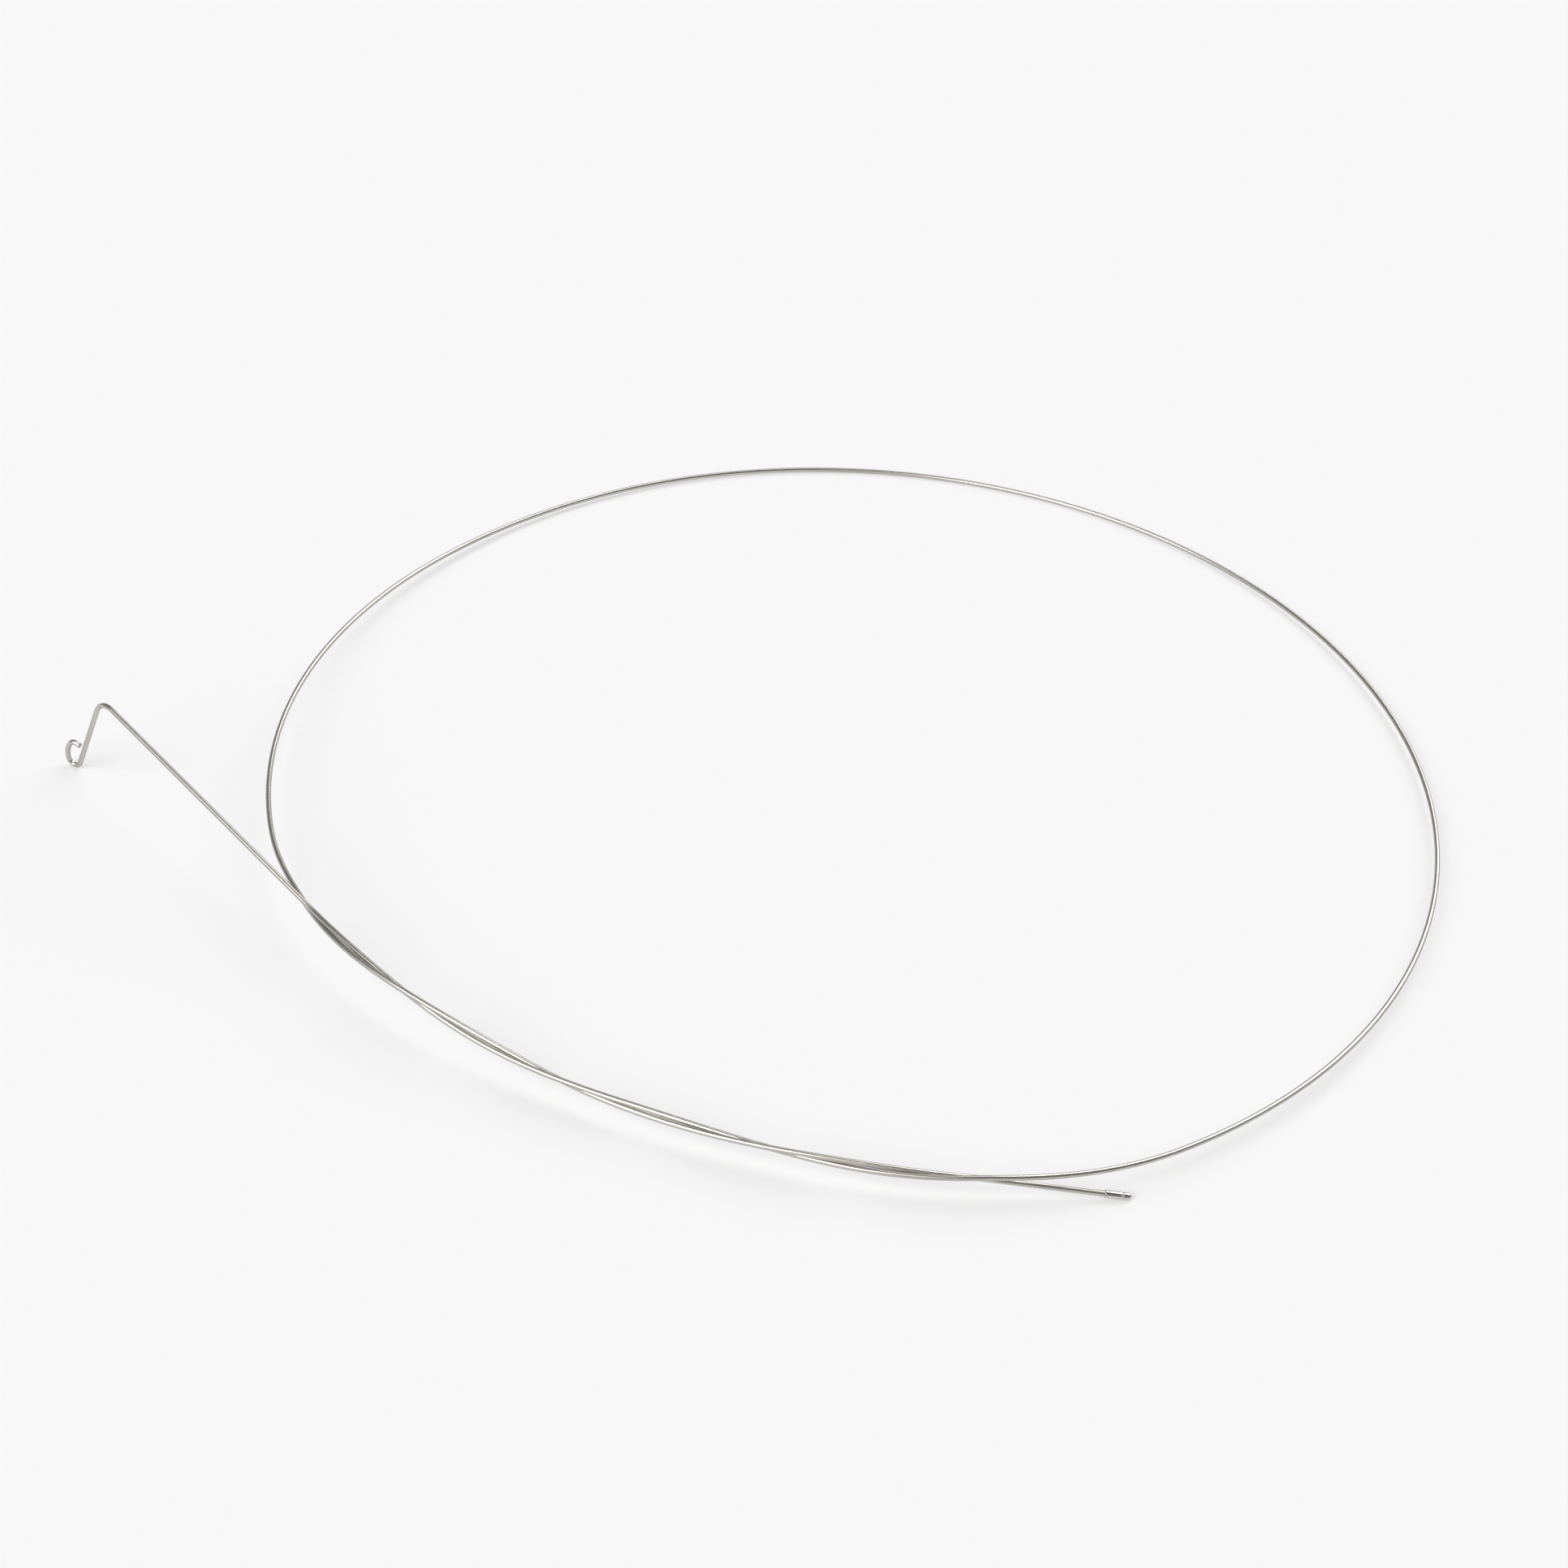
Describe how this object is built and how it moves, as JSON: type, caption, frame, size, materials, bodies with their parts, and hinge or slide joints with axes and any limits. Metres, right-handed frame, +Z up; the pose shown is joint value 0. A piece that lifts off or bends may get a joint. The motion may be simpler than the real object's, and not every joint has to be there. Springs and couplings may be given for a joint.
{
  "type": "door seal clamp ring",
  "caption": "Thin spring wire hoop with its overlapping ends twisted together, ending in a hooked eye and a crimped ferrule.",
  "frame": {"origin": "centre of the hoop as seen from above, on the surface that the ring lies on", "axes": "+Z up from that surface, +X away from the hook across the hoop, +Y away from the twisted overlap"},
  "size_m": [0.3304, 0.2738, 0.0244],
  "materials": {
    "spring_wire": "drawn bright spring wire with a soft sheen",
    "ferrule": "polished steel"
  },
  "bodies": {
    "root": {"clamp_wire": "spring_wire", "end_ferrule": "ferrule"}
  },
  "joints": []
}
